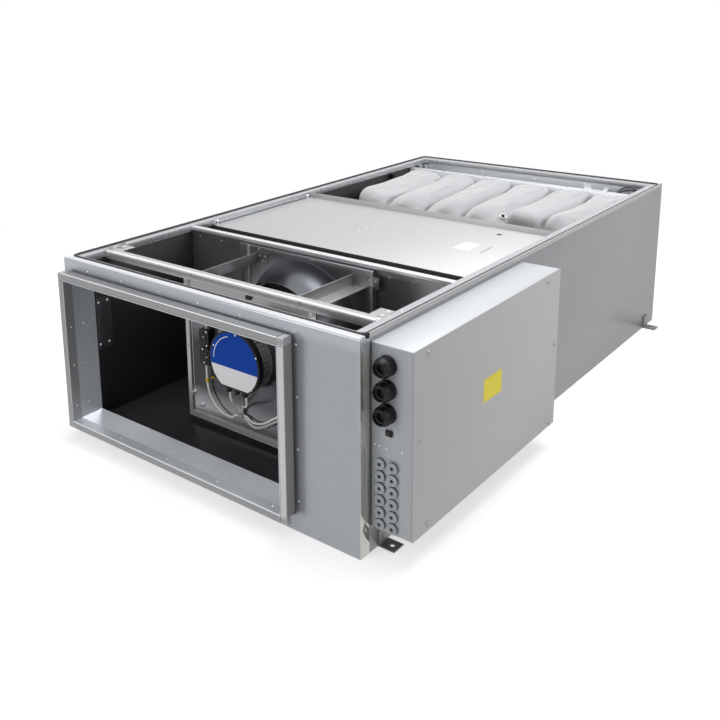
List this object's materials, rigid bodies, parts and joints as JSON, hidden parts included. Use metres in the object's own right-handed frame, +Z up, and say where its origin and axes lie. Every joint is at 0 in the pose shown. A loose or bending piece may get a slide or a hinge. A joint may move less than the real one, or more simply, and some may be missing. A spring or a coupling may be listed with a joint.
{
  "type": "flat air handling unit",
  "caption": "Flat duct air handling unit with its service cover off: insulated sheet metal casing, plug fan behind a duct flange, inner cover, pocket filters and a control box on the side",
  "frame": {"origin": "middle of the casing's underside", "axes": "+X to the side with the control box, +Y from the front duct flange to the rear one, +Z up"},
  "size_m": [1.1173, 1.872, 0.503],
  "materials": {
    "casing_zinc": "galvanised sheet, satin",
    "rim_bright": "bright galvanised folds",
    "gasket_rubber": "matt black rubber",
    "duct_zinc": "galvanised duct frame",
    "inner_zinc": "galvanised sheet",
    "cover_zinc": "pale galvanised sheet",
    "box_paint": "pale grey powder coat",
    "lid_paint": "grey powder coat",
    "black_plastic": "black nylon and plastic",
    "grommet_rubber": "grey rubber",
    "lead_sheath": "pale grey cable sheath",
    "hose_black": "black hose",
    "impeller_metal": "dark coated sheet",
    "rotor_steel": "turned steel",
    "filter_fleece": "white fleece",
    "foot_zinc": "dull zinc"
  },
  "bodies": {
    "casing": {"floor_panel": "casing_zinc", "front_wall": "casing_zinc", "rear_wall": "casing_zinc", "left_wall": "casing_zinc", "right_wall": "casing_zinc", "rim_lip": "rim_bright", "front_cross_rail": "rim_bright", "partition_rail": "rim_bright", "rim_gasket": "gasket_rubber", "front_collar": "duct_zinc", "front_duct_flange": "duct_zinc", "rear_collar": "duct_zinc", "rear_duct_flange": "duct_zinc", "fan_partition": "inner_zinc", "fan_plate": "inner_zinc", "inlet_nozzle": "inner_zinc", "motor_plate": "inner_zinc", "fan_arm_left": "inner_zinc", "fan_arm_right": "inner_zinc", "cover_rail_left": "inner_zinc", "cover_rail_right": "inner_zinc", "filter_frame": "inner_zinc", "left_wall_plate": "inner_zinc", "section_cover": "cover_zinc", "control_box": "box_paint", "control_box_lid": "lid_paint", "motor_housing": "black_plastic", "motor_terminal_box": "black_plastic", "cable_gland_top": "black_plastic", "cable_gland_middle": "black_plastic", "cable_gland_bottom": "black_plastic", "service_socket": "black_plastic", "cable_tie": "black_plastic", "cable_wall_gland": "black_plastic", "grommet_strip": "grommet_rubber", "motor_lead_left": "lead_sheath", "motor_lead_middle": "lead_sheath", "motor_lead_right": "lead_sheath", "motor_cable": "lead_sheath", "pressure_hose": "hose_black", "filter_pocket_1": "filter_fleece", "filter_pocket_2": "filter_fleece", "filter_pocket_3": "filter_fleece", "filter_pocket_4": "filter_fleece", "filter_pocket_5": "filter_fleece", "filter_pocket_6": "filter_fleece", "foot_front_left": "foot_zinc", "foot_front_right": "foot_zinc", "foot_rear_left": "foot_zinc", "foot_rear_right": "foot_zinc", "motor_cable_signal": "lead_sheath"},
    "fan_wheel": {"impeller": "impeller_metal", "motor_rotor": "rotor_steel"}
  },
  "joints": [
    {"name": "fan_spin", "type": "hinge", "parent": "casing", "child": "fan_wheel", "pos_m": [-0.01, -0.69, 0.27], "axis": [0, 1, 0], "continuous": true}
  ]
}
